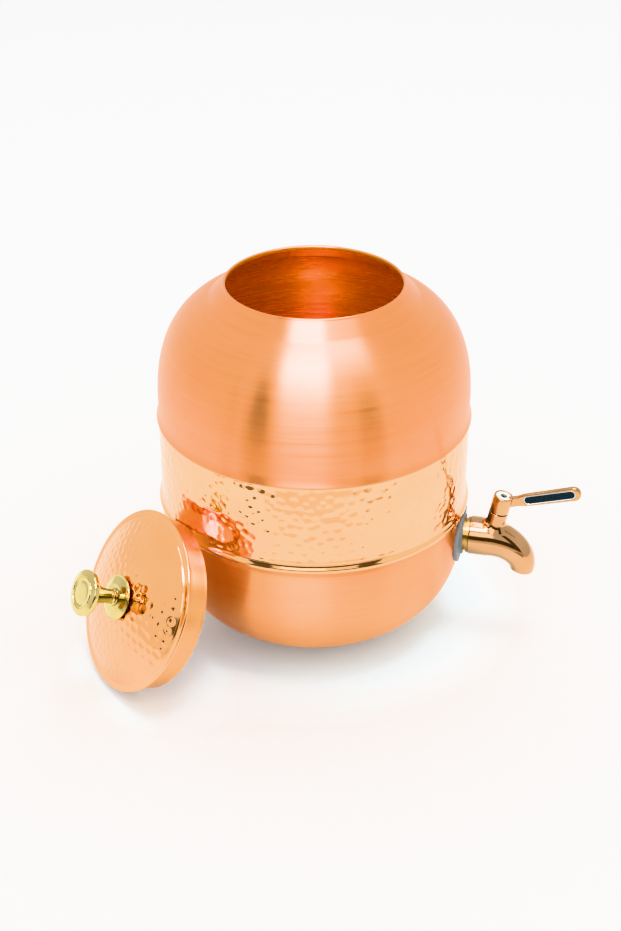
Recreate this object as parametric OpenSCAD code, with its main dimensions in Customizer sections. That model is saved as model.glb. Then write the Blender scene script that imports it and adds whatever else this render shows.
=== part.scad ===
// Copper water pot with a hammered band, a brass ball tap and a lift-off lid.
// Millimetres. The origin is the centre of the flat base on the floor, +Z is up
// and the tap points along +X. The lid is off the pot: it stands on the floor
// and leans on the pot's lower shell.

/* [Pot] */
// Outer diameter of the upper shell's turned-out rim, the widest place
pot_d = 205; // [200:1:210]
// Height of that rim above the floor
rim_z = 149; // [148:0.5:150]
// Thickness of the spun copper sheet
sheet = 1; // [0.8:0.1:1.2]
// Diameter of the flat base
base_d = 78; // [70:1:90]
// Inner diameter of the mouth
mouth_d = 111.6; // [110:0.2:113]
// Height of the mouth's edge
mouth_z = 239.8; // [239:0.2:241]
// Radius of the crease between the dome and the neck facet
crease_r = 67; // [66:0.5:68]
// Radius of the rolled bead along the band's lower edge
bead_r = 2.6; // [2:0.1:3]

/* [Tap] */
// Height of the tap's axis
tap_z = 67.9; // [67:0.1:69]
// Diameter of the tap's barrel
barrel_d = 26; // [25:0.5:27]
// Distance from the pot's axis to the barrel's back face
barrel_x = 106.8; // [106:0.1:107.5]
// Distance from the pot's axis to the stem, measured at the barrel's axis
stem_x = 120.8; // [120:0.1:121.5]
// Lean of the stem away from the pot, in degrees
stem_lean = 11.5; // [8:0.5:14]
// Diameter of the valve ball
ball_d = 13.2; // [13:0.1:13.4]
// Bore of the waterway through the ball
port_d = 6.8; // [6:0.2:7.2]
// Outer diameter of the spout at its outlet
outlet_d = 16.6; // [16.2:0.2:18]

/* [Lever] */
// Diameter of the lever's hub and of the neck below it
hub_d = 12.9; // [12.5:0.1:13.5]
// Length of the paddle from the hub's side to its round end
paddle_l = 46.3; // [40:0.1:52]
// Width of the paddle at its round end
paddle_w = 9.7; // [9:0.1:11]
// Thickness of the paddle
paddle_t = 3.6; // [3:0.1:4.4]
// Rise of the paddle above the horizontal, in degrees
paddle_rise = 16.6; // [12:0.2:20]

/* [Lid] */
// Diameter of the lid's cover over its rolled edge
cover_d = 116.8; // [116:0.2:118]
// Outer diameter of the collar that drops into the mouth
collar_d = 109; // [108:0.5:110]
// Depth of the collar below the cover
collar_h = 15.9; // [15:0.1:17]
// Height of the hammered crown above the cover's flat edge
crown_h = 13.3; // [12:0.1:14]
// Diameter of the knob's head and of its foot flange
knob_d = 29.6; // [28:0.2:31]
// Height of the knob's head face above the cover's flat edge
knob_top = 39.9; // [38:0.1:42]
// Where the lid's centre stands on the floor plan
lid_xy = [-90.5, -109.5];
// Bearing of the lid's outer face, in degrees from +X
lid_bearing = -135.7; // [-138:0.1:-133]
// Angle of the lid's axis above the floor, in degrees
lid_lean = 27.3; // [26:0.1:29]

/* [Hidden] */
$fn = 96;

copper = [0.93, 0.62, 0.42];
copper_pale = [0.99, 0.78, 0.60];
rose_gold = [0.80, 0.60, 0.42];
brass = [0.86, 0.74, 0.42];
rubber = [0.42, 0.44, 0.46];
steel = [0.80, 0.81, 0.80];
black = [0.08, 0.11, 0.15];

// Pot: derived values
rim_r = pot_d / 2;
base_r = base_d / 2;
mouth_r = mouth_d / 2;
dome_r = rim_r - 1.4;        // straight part of the dome above the flare
dome_z = rim_z + 13;         // where the dome's curve starts
dome_h = 74;                 // height at which the dome's curve would close
dome_n = 2.38;
dome_m = 3.86;
flare_z = rim_z + 7.5;       // top of the turned-out rim
wall_r = rim_r - 1.5;        // lower shell's straight wall
wall_z = 76.9;               // where the lower shell's curve ends
foot_n = 2.72;
foot_m = 1.93;
band_r = rim_r - 1.1;        // outside of the hammered band
band_z = 87;                 // lower edge of the band
bead_out = 1.8;              // how far the bead stands out from the band
bead_end = 40;               // angle at which the bead turns into the cove above it
cove_r = bead_out / (1 - cos(bead_end)) - bead_r;
cove_z = band_z + bead_r + (bead_r + cove_r) * sin(bead_end);
lap = 9;                     // overlap of the soldered laps
slip = 0.08;                 // clearance in a lap
lip_w = 1.8;                 // width of the mouth's rolled lip
lip_h = 2.4;                 // straight inner wall of the lip

// Tap: derived values
barrel_r = barrel_d / 2;
outlet_r = outlet_d / 2;
ball_r = ball_d / 2;
port_r = port_d / 2;
shank_r = 10.4;
spigot_r = 9.3;
gasket_r = 18.9;
gasket_t = 2.1;              // thickness of the gasket against the wall
gasket_face = 103.3;
nut_x = 90.5;                // inside face of the lock nut's washer
nut_h = 6;
seat_in = 4.9;               // seats reach from this far along the axis from the ball's centre
seat_out = 7;                // to this far
spigot_end = stem_x - seat_out;
cavity_r = ball_r + 0.9;
cavity_end = stem_x + seat_out;
run_fit = 0.05;              // radial clearance of a running fit
stem_r = 2.8;
flange_r = 3.7;              // shoulder that keeps the stem in
flange_from = 8.6;
flange_to = 10.4;
groove_z = [12.1, 14];       // middles of the O-ring grooves
ring_section = 0.4;
gland_r = 4.9;
bonnet_h = 21.4;             // from the barrel's axis to the bonnet's top
hub_z = 22;                  // underside of the lever's hub
hub_top = 34.1;
hub_r = hub_d / 2;
stem_top = hub_top - 3.4;

// Spout: a chain of balls on a quarter ellipse that turns a little past straight down
spout_x = 118;
spout_run = 24.5;
spout_drop = 18.4;
spout_turn = 98;
spout_steps = 7;
bend_r = 15.6;               // centre line of the bore's elbow
bend_x = 127.6;
duct_r = 5;
aerator_r = 6.2;
aerator_l = 4.6;

// Lever: derived values, in the paddle's own plane
paddle_half = paddle_w / 2;
neck_half = 3.4;
neck_l = 4.5;
shoulder_l = 10;
shoulder_half = 4.25;
badge_from = 8.4;
badge_to = paddle_l - 3.6;
badge_half = 3.3;
recess_d = 0.8;

// Lid: derived values, in the lid's own frame with +Z out of its face
cover_r = cover_d / 2;
collar_r = collar_d / 2;
curl_r = 1;
crown_r = 53.4;
crown_foot = 0.9;
knob_r = knob_d / 2;
flange_z = crown_h + 0.1;
knob_neck_r = 4.6;
knob_flare = 4;              // how far the neck widens towards the head
screw_r = 2.4;
lid_z = collar_r * cos(lid_lean) + (collar_h + sheet) * sin(lid_lean);

// Points along an arc in the drawing plane
function arc(c, r, a0, a1, n) = [
    for (i = [0:n]) let (a = a0 + (a1 - a0) * i / n) [c[0] + r * cos(a), c[1] + r * sin(a)]
];

// Unit normal of a path at point i, to the right of its direction
function path_normal(p, i) =
    let (a = p[max(i - 1, 0)], b = p[min(i + 1, len(p) - 1)], d = (b - a) / norm(b - a))
    [d[1], -d[0]];

// Closed outline of a sheet of thickness t, whose outside follows path p
function sheet_outline(p, t) = concat(
    p,
    [for (i = [len(p) - 1:-1:0]) p[i] - t * path_normal(p, i)]
);

// Radius of the dome at height z
function dome_radius(z) = dome_r * pow(1 - pow((z - dome_z) / dome_h, dome_n), 1 / dome_m);

// Height of the dome at radius r
function dome_height(r) = dome_z + dome_h * pow(1 - pow(r / dome_r, dome_m), 1 / dome_n);

crease_z = dome_height(crease_r);

// Radius of the lower shell at height z
function foot_radius(z) =
    base_r + (wall_r - base_r) * pow(1 - pow((wall_z - z) / wall_z, foot_n), 1 / foot_m);

// Outside of the lower shell, from the centre of the base up to the wall's top
foot_path = concat(
    [[0, 0]],
    [for (i = [0:18]) let (z = wall_z * (1 - sin(90 - 5 * i))) [foot_radius(z), z]]
);

// Places a child on the tap's axis, with +Z pointing away from the pot
module on_tap_axis(x = 0) {
    translate([x, 0, tap_z])
        rotate([0, 90, 0])
            children();
}

// Places a child on the stem's axis, with z = 0 on the barrel's axis
module on_stem(z = 0) {
    translate([stem_x, 0, tap_z])
        rotate([0, stem_lean, 0])
            translate([0, 0, z])
                children();
}

// Places a child in the lid's own frame
module on_lid() {
    translate([lid_xy[0], lid_xy[1], lid_z])
        rotate([0, 90 - lid_lean, lid_bearing])
            children();
}

// Flat ring
module ring(r_out, r_in, h) {
    difference() {
        cylinder(h = h, r = r_out);
        translate([0, 0, -1])
            cylinder(h = h + 2, r = r_in);
    }
}

// Ring of round section, such as an O-ring
module o_ring(r, section_r) {
    rotate_extrude()
        translate([r, 0])
            circle(r = section_r, $fn = 24);
}

// ---- Pot ----

module upper_shell() {
    flare = [[rim_r, rim_z], [rim_r - 0.2, rim_z + 1.2], [dome_r, flare_z], [dome_r, dome_z]];
    dome = [for (i = [1:16]) let (z = dome_z + (crease_z - dome_z) * sin(90 * i / 16))
        [dome_radius(z), z]];
    lip_r = mouth_r + lip_w;
    skin = sheet_outline(concat(flare, dome), sheet);
    half = len(skin) / 2;
    outside = [for (i = [0:half - 1]) skin[i]];
    inside = [for (i = [half:len(skin) - 1]) skin[i]];
    lip = concat(
        [[lip_r + 0.2, mouth_z - 1.1]],
        arc([lip_r - lip_w / 2, mouth_z - lip_w / 2], lip_w / 2, 0, 180, 10),
        [[mouth_r, mouth_z - lip_h]]
    );
    color(copper)
        rotate_extrude($fn = 180)
            polygon(concat(outside, lip, inside));
}

module hammered_band() {
    top_r = dome_r - sheet - slip;
    bead = arc([band_r + bead_out - bead_r, band_z + bead_r], bead_r, -90, bead_end, 12);
    cove = arc([band_r + cove_r, cove_z], cove_r, 180 + bead_end, 180, 6);
    outside = concat(
        bead,
        [for (i = [1:6]) cove[i]],
        [[band_r, rim_z - 0.8], [top_r, rim_z + 1.6], [top_r, rim_z + lap]]
    );
    inside = [
        [top_r - sheet, rim_z + lap], [top_r - sheet, rim_z + 0.8],
        [band_r - sheet, rim_z - 1.8], [band_r - sheet, band_z]
    ];
    color(copper_pale)
        rotate_extrude($fn = 180)
            polygon(concat(outside, inside));
}

// The lower shell without the tap's hole
module lower_blank() {
    lap_r = band_r - sheet - slip;
    path = concat(foot_path, [[wall_r, band_z - 2.6], [lap_r, band_z - 0.6], [lap_r, band_z + lap]]);
    rotate_extrude($fn = 180)
        polygon(sheet_outline(path, sheet));
}

module lower_shell() {
    color(copper)
        difference() {
            lower_blank();
            on_tap_axis(base_r)
                cylinder(h = rim_r, r = shank_r + 0.4);
        }
}

// Solid that the lower shell's wall fills, moved out by grow
module foot_body(grow) {
    rotate_extrude($fn = 180)
        polygon(concat(
            [for (i = [0:len(foot_path) - 1]) foot_path[i] + grow * path_normal(foot_path, i)],
            [[wall_r + grow, band_z + 20], [0, band_z + 20]]
        ));
}

// ---- Tap fixing ----

module outer_gasket() {
    color(rubber)
        difference() {
            union() {
                intersection() {
                    on_tap_axis(base_r)
                        cylinder(h = gasket_face - base_r, r = gasket_r);
                    foot_body(gasket_t);
                }
                on_tap_axis(base_r + 50)
                    cylinder(h = gasket_face - base_r - 50, r = barrel_r + 0.5);
            }
            foot_body(0.02);
            on_tap_axis(base_r)
                cylinder(h = rim_r, r = shank_r + 0.1);
        }
}

module backing_ring() {
    groove_h = 1.3;
    color(brass)
        on_tap_axis(gasket_face)
            difference() {
                ring(barrel_r - 0.7, shank_r + 0.05, barrel_x - gasket_face);
                translate([0, 0, 0.6])
                    ring(barrel_r + 1, barrel_r - 1.9, groove_h);
            }
}

module tap_shank() {
    shank_end = 78;
    color(brass)
        on_tap_axis(shank_end)
            difference() {
                union() {
                    cylinder(h = barrel_x - shank_end, r = shank_r);
                    cylinder(h = spigot_end - shank_end, r = spigot_r);
                    for (i = [0:6])
                        translate([0, 0, 1 + 2.2 * i])
                            cylinder(h = 1.1, r = shank_r + 0.02);
                }
                translate([0, 0, -1])
                    cylinder(h = spigot_end - shank_end + 2, r = port_r + 2.6);
            }
}

module inner_gasket() {
    color(rubber)
        intersection() {
            on_tap_axis(nut_x + 1.6)
                ring(shank_r + 5.6, shank_r + 0.1, 12);
            foot_body(-sheet - 0.02);
        }
}

module shank_washer() {
    color(steel)
        on_tap_axis(nut_x)
            ring(shank_r + 5.6, shank_r + 0.2, 1.6);
}

module lock_nut() {
    nut_af = 27;
    color(brass)
        on_tap_axis(nut_x - nut_h)
            difference() {
                intersection() {
                    cylinder(h = nut_h, r = nut_af / sqrt(3), $fn = 6);
                    cylinder(h = nut_h, r = nut_af / 2 + 1.4);
                }
                translate([0, 0, -1])
                    cylinder(h = nut_h + 2, r = shank_r + 0.06);
            }
}

// ---- Tap body ----

function spout_point(a) = [spout_x + spout_run * sin(a), 0, tap_z - spout_drop * (1 - cos(a))];
function spout_pitch(a) = atan2(spout_drop * sin(a), spout_run * cos(a));
outlet_point = spout_point(spout_turn);
outlet_pitch = spout_pitch(spout_turn);

// Waterway from the ball's cavity to the outlet
module spout_duct() {
    on_tap_axis(cavity_end - 1)
        cylinder(h = bend_x - cavity_end + 2, r = duct_r + 0.4);
    translate([bend_x, 0, tap_z - bend_r])
        rotate([90, 0, 0])
            rotate([0, 0, 90 - outlet_pitch])
                rotate_extrude(angle = outlet_pitch)
                    translate([bend_r, 0])
                        circle(r = duct_r, $fn = 48);
    translate(outlet_point)
        rotate([0, 90 + outlet_pitch, 0])
            translate([0, 0, -aerator_l])
                cylinder(h = aerator_l + 1, r = aerator_r);
}

module tap_body() {
    color(rose_gold)
        difference() {
            union() {
                on_tap_axis(barrel_x)
                    cylinder(h = spout_x + 4 - barrel_x, r = barrel_r);
                for (i = [1:spout_steps - 1])
                    translate(spout_point(spout_turn * i / spout_steps))
                        sphere(r = barrel_r + (outlet_r - barrel_r) * i / spout_steps);
                translate(outlet_point)
                    rotate([0, 90 + outlet_pitch, 0])
                        translate([0, 0, -6])
                            cylinder(h = 6, r = outlet_r);
                on_stem(7)
                    cylinder(h = bonnet_h - 7, r = hub_r);
                on_stem(9)
                    cylinder(h = 6, r1 = hub_r + 1.3, r2 = hub_r);
            }
            // Bore for the shank's spigot, the seats and the ball
            on_tap_axis(barrel_x - 1)
                cylinder(h = spigot_end - barrel_x + 1, r = spigot_r + 0.02);
            on_tap_axis(spigot_end - 0.1)
                cylinder(h = cavity_end - spigot_end + 0.1, r = cavity_r);
            spout_duct();
            // Everything past the outlet's face
            translate(outlet_point)
                rotate([0, 90 + outlet_pitch, 0])
                    cylinder(h = 12, r = barrel_r);
            // Bore for the stem, its shoulder and the gland bush
            on_stem(0)
                cylinder(h = bonnet_h + 1, r = stem_r + run_fit);
            on_stem(0)
                cylinder(h = flange_to + run_fit, r = flange_r + run_fit);
            on_stem(bonnet_h - 6)
                cylinder(h = 7, r = gland_r);
        }
}

module ball_seats() {
    touch_r = ball_r + run_fit;
    inner_r = port_r + 0.6;
    face = arc([0, 0], touch_r, acos(seat_in / touch_r), asin(inner_r / touch_r), 8);
    color([0.93, 0.93, 0.90])
        for (side = [0, 180])
            on_tap_axis(stem_x)
                rotate([side, 0, 0])
                    rotate_extrude()
                        polygon(concat(
                            [for (p = face) [p[1], p[0]]],
                            [[inner_r, seat_out - 0.02], [cavity_r - 0.02, seat_out - 0.02]],
                            [[cavity_r - 0.02, seat_in]]
                        ));
}

module gland_bush() {
    color(brass)
        on_stem(bonnet_h - 6)
            ring(gland_r - 0.03, stem_r + run_fit, 6);
}

// ---- Lever and valve ----

module valve_ball() {
    color(steel)
        difference() {
            translate([stem_x, 0, tap_z])
                sphere(r = ball_r);
            on_stem(0)
                rotate([90, 0, 0])
                    cylinder(h = ball_d + 2, r = port_r, center = true);
            on_stem(ball_r - 2)
                translate([-1.25, -5, 0])
                    cube([2.5, 10, 3]);
        }
}

module valve_stem() {
    groove_r = stem_r - 2 * ring_section;
    color(brass)
        on_stem(0)
            difference() {
                union() {
                    cylinder(h = stem_top - 2, r = stem_r);
                    translate([0, 0, flange_from])
                        cylinder(h = flange_to - flange_from, r = flange_r);
                }
                // Tang that turns the ball
                translate([-10, -10, -1])
                    cube([20, 20, ball_r - 1.9 + 1]);
                for (side = [-1, 1])
                    translate([side * 6.2 - 5, -10, ball_r - 2])
                        cube([10, 20, 2.3]);
                // Grooves for the O-rings
                for (z = groove_z)
                    translate([0, 0, z - 0.75])
                        ring(stem_r + 1, groove_r, 1.5);
                // Square end that keys the hub, and the screw's hole
                for (a = [0:90:270])
                    rotate([0, 0, a])
                        translate([2.1, -5, hub_z + 1.2])
                            cube([5, 10, 20]);
                translate([0, 0, stem_top - 9])
                    cylinder(h = 10, r = 1.25);
            }
}

module stem_o_rings() {
    color(black)
        for (z = groove_z)
            on_stem(z)
                o_ring(stem_r - ring_section + 0.02, ring_section);
}

// Outline of the paddle, pointing along +X from the hub's side
module paddle_outline() {
    tip = paddle_l - paddle_half;
    polygon(concat(
        [[-4, -neck_half], [neck_l, -neck_half], [shoulder_l, -shoulder_half]],
        arc([tip, 0], paddle_half, -90, 90, 24),
        [[shoulder_l, shoulder_half], [neck_l, neck_half], [-4, neck_half]]
    ));
}

// Outline with two round ends, from x = a to x = b
module stadium(a, b, half) {
    polygon(concat(
        arc([b - half, 0], half, -90, 90, 20),
        arc([a + half, 0], half, 90, 270, 20)
    ));
}

// Places a flat child in the paddle's plane, with +Z towards -Y
module on_paddle() {
    mid = (hub_z + hub_top) / 2;
    translate([stem_x, 0, tap_z])
        rotate([0, stem_lean, 0])
            translate([0, 0, mid])
                rotate([0, -stem_lean, 0])
                    rotate([90, 0, 0])
                        rotate([0, 0, paddle_rise])
                            translate([hub_r, 0, 0])
                                children();
}

module lever_handle() {
    color(rose_gold)
        difference() {
            union() {
                on_stem(hub_z)
                    cylinder(h = hub_top - hub_z, r = hub_r);
                on_paddle()
                    translate([0, 0, -paddle_t / 2])
                        linear_extrude(height = paddle_t)
                            paddle_outline();
            }
            on_paddle()
                translate([0, 0, paddle_t / 2 - recess_d])
                    linear_extrude(height = 3)
                        stadium(badge_from, badge_to, badge_half);
            // Square socket, screw hole and recess for the disc
            on_stem(hub_z - 1)
                translate([-2.15, -2.15, 0])
                    cube([4.3, 4.3, stem_top - hub_z - 1]);
            on_stem(hub_z - 1)
                cylinder(h = 2.2, r = stem_r + 0.06);
            on_stem(hub_z)
                cylinder(h = 20, r = 1.6);
            on_stem(hub_top - 1.2)
                cylinder(h = 3, r = 5.1);
            on_stem(hub_top - 3)
                cylinder(h = 3, r = 2.5);
        }
}

module badge_plate() {
    color(black)
        on_paddle()
            translate([0, 0, paddle_t / 2 - recess_d])
                linear_extrude(height = recess_d - 0.2)
                    stadium(badge_from + 0.1, badge_to - 0.1, badge_half - 0.1);
}

module index_disc() {
    color(steel)
        on_stem(hub_top - 1.2)
            ring(5, 2.3, 0.8);
}

module handle_screw() {
    color(steel)
        on_stem(0)
            difference() {
                union() {
                    translate([0, 0, hub_top - 3])
                        cylinder(h = 2, r = 2.2);
                    translate([0, 0, stem_top - 7])
                        cylinder(h = hub_top - stem_top + 4.5, r = 1.2);
                }
                translate([0, 0, hub_top - 2.2])
                    cylinder(h = 3, r = 1.3, $fn = 6);
            }
}

// ---- Lid ----

// Height of the crown's outside at radius r
function crown_z(r) = crown_foot + (crown_h - crown_foot) * (1 - pow(r / crown_r, 2.1));

module lid_cover() {
    top = concat(
        [for (i = [0:14]) let (r = crown_r * i / 14) [max(r, screw_r), crown_z(max(r, screw_r))]],
        [[crown_r + 0.3, 0], [cover_r - curl_r, 0]]
    );
    under = [for (i = [len(top) - 1:-1:0]) top[i] - [0, sheet]];
    edge = arc([cover_r - curl_r, -curl_r], curl_r, 90, -180, 14);
    color(copper_pale)
        on_lid()
            rotate_extrude($fn = 180)
                polygon(concat(
                    [for (i = [0:len(top) - 2]) top[i]],
                    edge,
                    [for (i = [1:len(under) - 1]) under[i]]
                ));
}

module lid_collar() {
    hem = 1.2;
    color(copper)
        on_lid()
            translate([0, 0, -sheet - collar_h])
                difference() {
                    cylinder(h = collar_h - 0.02, r = collar_r, $fn = 180);
                    translate([0, 0, -1])
                        cylinder(h = collar_h + 2, r = collar_r - hem, $fn = 180);
                }
}

module knob_flange() {
    color(brass)
        on_lid()
            rotate_extrude($fn = 120)
                polygon([
                    [screw_r + 0.1, flange_z], [knob_r - 2, flange_z], [knob_r, flange_z + 0.6],
                    [knob_r, flange_z + 1.3], [knob_r - 1.2, flange_z + 1.9],
                    [7, flange_z + 3.1], [screw_r + 0.1, flange_z + 3.1]
                ]);
}

module knob() {
    foot = flange_z + 3.15;
    head = knob_top - 6.2;
    waist = foot + 3.5;
    neck = [
        for (i = [0:10]) let (t = i / 10)
            [knob_neck_r + knob_flare * pow(t, 1.8), waist + (head + 0.4 - waist) * t]
    ];
    color(brass)
        on_lid()
            difference() {
                rotate_extrude($fn = 120)
                    polygon(concat(
                        [[0, foot], [5.9, foot], [5.6, foot + 0.8], [knob_neck_r + 0.2, foot + 1.2]],
                        neck,
                        [[knob_r - 1, head + 1.6], [knob_r, head + 2.8], [knob_r, head + 4.4]],
                        [[knob_r - 1.4, head + 5.8], [0.72 * knob_r, knob_top]],
                        [[0.7 * knob_r, knob_top - 0.4], [0.66 * knob_r, knob_top - 0.4]],
                        [[0.64 * knob_r, knob_top], [0, knob_top]]
                    ));
                translate([0, 0, foot - 1])
                    cylinder(h = 11, r = screw_r + 0.02);
            }
}

module knob_washer() {
    under = crown_z(7) - sheet - 0.3;
    color(steel)
        on_lid()
            translate([0, 0, under - 1.2])
                ring(6.5, screw_r + 0.1, 1.2);
}

module knob_screw() {
    under = crown_z(7) - sheet - 1.5;
    color(steel)
        on_lid()
            difference() {
                union() {
                    translate([0, 0, under - 2])
                        cylinder(h = 2, r1 = 3.4, r2 = 4.4);
                    translate([0, 0, under - 0.01])
                        cylinder(h = flange_z + 12 - under, r = screw_r);
                }
                translate([-5, -0.5, under - 2.5])
                    cube([10, 1, 1.3]);
            }
}

upper_shell();
hammered_band();
lower_shell();
outer_gasket();
backing_ring();
tap_shank();
inner_gasket();
shank_washer();
lock_nut();
tap_body();
ball_seats();
gland_bush();
valve_ball();
valve_stem();
stem_o_rings();
lever_handle();
badge_plate();
index_disc();
handle_screw();
lid_cover();
lid_collar();
knob_flange();
knob();
knob_washer();
knob_screw();
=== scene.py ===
"""Copper water pot with a hammered band, a lever tap and a lift-off lid.

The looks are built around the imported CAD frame, in the frame's own axes: the pot stands on z = 0
at the origin and the tap points along +X. The scene is in metres. Outlines are drawn in
millimetres, as the pieces' sizes are, and MM brings them to metres.
"""

import math
import random

import bmesh
import bpy
import numpy as np
from mathutils import Matrix, Vector
from mathutils.bvhtree import BVHTree


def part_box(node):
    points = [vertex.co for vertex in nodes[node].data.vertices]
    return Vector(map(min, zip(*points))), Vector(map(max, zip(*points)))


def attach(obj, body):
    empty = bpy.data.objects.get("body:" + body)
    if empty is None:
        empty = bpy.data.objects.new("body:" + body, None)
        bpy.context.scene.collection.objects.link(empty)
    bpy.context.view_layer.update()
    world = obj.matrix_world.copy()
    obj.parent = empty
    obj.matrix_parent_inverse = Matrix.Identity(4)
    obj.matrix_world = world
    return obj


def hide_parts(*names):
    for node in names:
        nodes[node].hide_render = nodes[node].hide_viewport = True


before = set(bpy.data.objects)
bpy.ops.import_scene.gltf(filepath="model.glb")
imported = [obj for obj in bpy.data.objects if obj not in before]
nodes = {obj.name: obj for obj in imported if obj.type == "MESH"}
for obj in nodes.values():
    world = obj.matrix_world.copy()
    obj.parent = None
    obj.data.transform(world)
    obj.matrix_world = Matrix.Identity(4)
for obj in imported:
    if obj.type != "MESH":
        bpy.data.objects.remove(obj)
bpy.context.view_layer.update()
MM = 0.001


def linked(name, data):
    """New object of this data, in the scene."""
    item = bpy.data.objects.new(name, data)
    bpy.context.scene.collection.objects.link(item)
    return item


# ---- Camera ----

VIEW_TURN = math.radians(13.9)


def add_camera():
    """View of the whole pot from in front and above, with the tap to the right."""
    data = bpy.data.cameras.new("camera")
    data.lens = 61.95
    data.sensor_width = 36.0
    data.clip_start = 0.02
    data.clip_end = 50.0
    camera = linked("camera", data)
    camera.location = (0.2193, -0.8960, 0.6460)
    camera.rotation_euler = (math.radians(59.65), 0, VIEW_TURN)
    bpy.context.scene.camera = camera


add_camera()


# ---- Materials ----

class Graph:
    """A material's node tree, with short calls for adding and linking nodes. Its patterns run in
    the frame's axes, or in those of the matrix axes."""

    def __init__(self, name, axes=None, **inputs):
        self.axes = axes or Matrix.Identity(4)
        self.material = bpy.data.materials.new(name)
        self.material.use_nodes = True
        self.tree = self.material.node_tree
        self.shader = self.tree.nodes["Principled BSDF"]
        for key, value in inputs.items():
            socket = self.shader.inputs[key.replace("_", " ").title().replace("Ior", "IOR")]
            socket.default_value = (*value, 1) if isinstance(value, tuple) else value

    def add(self, kind, values=(), **settings):
        """A new node. values are its inputs in order: a number or vector is set, a socket is linked."""
        node = self.tree.nodes.new("ShaderNode" + kind)
        for key, value in settings.items():
            setattr(node, key, value)
        for socket, value in zip(node.inputs, values):
            if isinstance(value, bpy.types.NodeSocket):
                self.tree.links.new(value, socket)
            elif value is not None:
                socket.default_value = value
        return node

    def math(self, operation, a, b=None):
        return self.add("Math", (a, b), operation=operation).outputs[0]

    def vector(self, operation, a, b):
        return self.add("VectorMath", (a, b), operation=operation).outputs[0]

    def length(self, vector):
        return self.add("VectorMath", (vector,), operation="LENGTH").outputs["Value"]

    def coordinates(self):
        """Position in the pattern's own axes."""
        position = self.add("TexCoord").outputs["Object"]
        place, turn, _ = self.axes.decompose()
        mapping = self.add("Mapping", (position, place, turn.to_euler()), vector_type="TEXTURE")
        return mapping.outputs[0]

    def connect_round_tangent(self):
        """Brushing that runs round the pattern's Z axis."""
        position = self.add("TexCoord").outputs["Object"]
        axis = self.axes.col[2].xyz
        offset = self.vector("SUBTRACT", position, self.axes.translation)
        around = self.vector("CROSS_PRODUCT", axis, offset)
        world = self.add("VectorTransform", (around,), vector_type="VECTOR",
                         convert_from="OBJECT", convert_to="WORLD")
        self.connect(world.outputs[0], "Tangent")

    def noise(self, vector, scale, detail=2.0, roughness=0.5):
        node = self.add("TexNoise")
        self.tree.links.new(vector, node.inputs["Vector"])
        node.inputs["Scale"].default_value = scale
        node.inputs["Detail"].default_value = detail
        node.inputs["Roughness"].default_value = roughness
        return node.outputs[0]

    def spread(self, value, low, high, source=(0.3, 0.7)):
        """value, stretched from the source range to low..high."""
        node = self.add("MapRange", (value, source[0], source[1], low, high))
        return node.outputs[0]

    def blend(self, factor, a, b):
        """Colour that runs from a to b with the factor."""
        node = self.add("MixRGB", (factor, None, None))
        for socket, colour in zip(node.inputs[1:], (a, b)):
            if isinstance(colour, bpy.types.NodeSocket):
                self.tree.links.new(colour, socket)
            else:
                socket.default_value = (*colour, 1)
        return node.outputs[0]

    def connect(self, source, name):
        self.tree.links.new(source, self.shader.inputs[name])

    def bump(self, height, strength, distance):
        node = self.add("Bump")
        node.inputs["Strength"].default_value = strength
        node.inputs["Distance"].default_value = distance
        self.tree.links.new(height, node.inputs["Height"])
        self.connect(node.outputs[0], "Normal")

    def turned_coordinates(self, lean, around, across):
        """Coordinates for lines that run round the pattern's Z axis, with the scales along them and
        across them. lean -1 suits a surface that closes in upwards, +1 one that closes in downwards,
        so that the lines never merge on a flat part."""
        split = self.add("SeparateXYZ", (self.coordinates(),)).outputs
        flat = self.add("CombineXYZ", (split[0], split[1], 0.0)).outputs[0]
        profile = self.math("ADD", split[2], self.math("MULTIPLY", self.length(flat), float(lean)))
        return self.add("CombineXYZ", (
            self.math("MULTIPLY", split[0], around),
            self.math("MULTIPLY", split[1], around),
            self.math("MULTIPLY", profile, across),
        )).outputs[0]


def brushed_copper(name, lean, dark, light, axes=None):
    """Sheet brushed on the lathe: fine rings over broader ones, with a stretched highlight."""
    g = Graph(name, axes, metallic=1.0, anisotropic=1.0, anisotropic_rotation=0.25,
              coat_weight=0.15, coat_roughness=0.3)
    fine = g.noise(g.turned_coordinates(lean, 18.0, 1700.0), 1.0, 2.0, 0.6)
    broad = g.noise(g.turned_coordinates(lean, 9.0, 340.0), 1.0, 2.0, 0.5)
    cloud = g.noise(g.coordinates(), 16.0, 2.0)
    lines = g.math("ADD", g.math("MULTIPLY", fine, 0.75), g.math("MULTIPLY", broad, 0.25))
    tint = g.math("ADD", g.math("MULTIPLY", lines, 0.6), g.math("MULTIPLY", cloud, 0.4))
    g.connect(g.blend(g.spread(tint, 0.0, 1.0, (0.35, 0.65)), dark, light), "Base Color")
    g.connect(g.spread(lines, 0.29, 0.35, (0.35, 0.65)), "Roughness")
    g.bump(fine, 0.14, 0.0002)
    g.connect_round_tangent()
    return g.material


def inner_copper(name):
    """The unpolished inside, which glows with light thrown from wall to wall."""
    g = Graph(name, metallic=0.7, anisotropic=0.6, anisotropic_rotation=0.25)
    rings = g.noise(g.turned_coordinates(1, 16.0, 500.0), 1.0, 2.0, 0.6)
    cloud = g.noise(g.coordinates(), 30.0, 3.0)
    tint = g.math("ADD", g.math("MULTIPLY", rings, 0.5), g.math("MULTIPLY", cloud, 0.5))
    g.connect(g.blend(g.spread(tint, 0.0, 1.0), (0.80, 0.335, 0.03), (0.87, 0.42, 0.05)), "Base Color")
    g.connect(g.spread(rings, 0.25, 0.29), "Roughness")
    g.bump(rings, 0.04, 0.0003)
    g.connect_round_tangent()
    return g.material


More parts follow.
